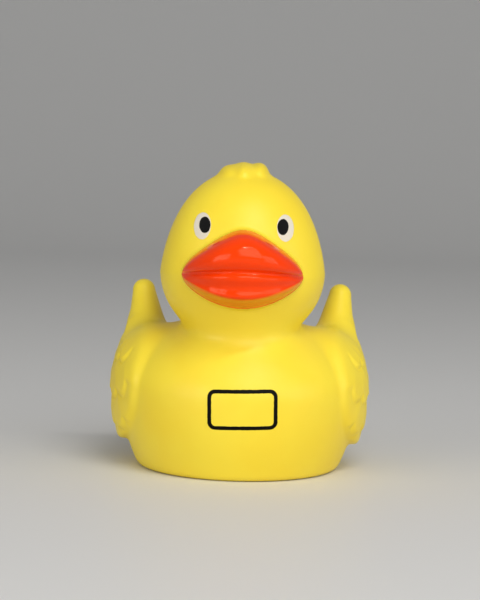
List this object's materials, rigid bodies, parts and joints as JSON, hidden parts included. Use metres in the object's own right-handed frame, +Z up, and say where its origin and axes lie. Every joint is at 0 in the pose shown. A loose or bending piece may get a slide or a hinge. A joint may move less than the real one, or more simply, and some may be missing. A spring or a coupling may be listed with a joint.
{
  "type": "rubber duck",
  "caption": "Hollow rubber duck with raised wings, a tuft of feathers, an orange bill, painted eyes and a squeaker in its flat base.",
  "frame": {"origin": "bottom centre of the duck's bounding box, on the plane of its flat base", "axes": "+Z up, -Y where the duck looks, +X its left side (the viewer's right when it is seen from the front)"},
  "size_m": [0.0702, 0.0828, 0.0823],
  "materials": {
    "vinyl": "satin",
    "white_plastic": "satin",
    "cap_plastic": "satin",
    "reed_film": "satin"
  },
  "bodies": {
    "root": {"duck_shell": "vinyl", "squeaker_body": "white_plastic", "squeaker_cap": "cap_plastic", "squeaker_reed": "reed_film"}
  },
  "joints": []
}
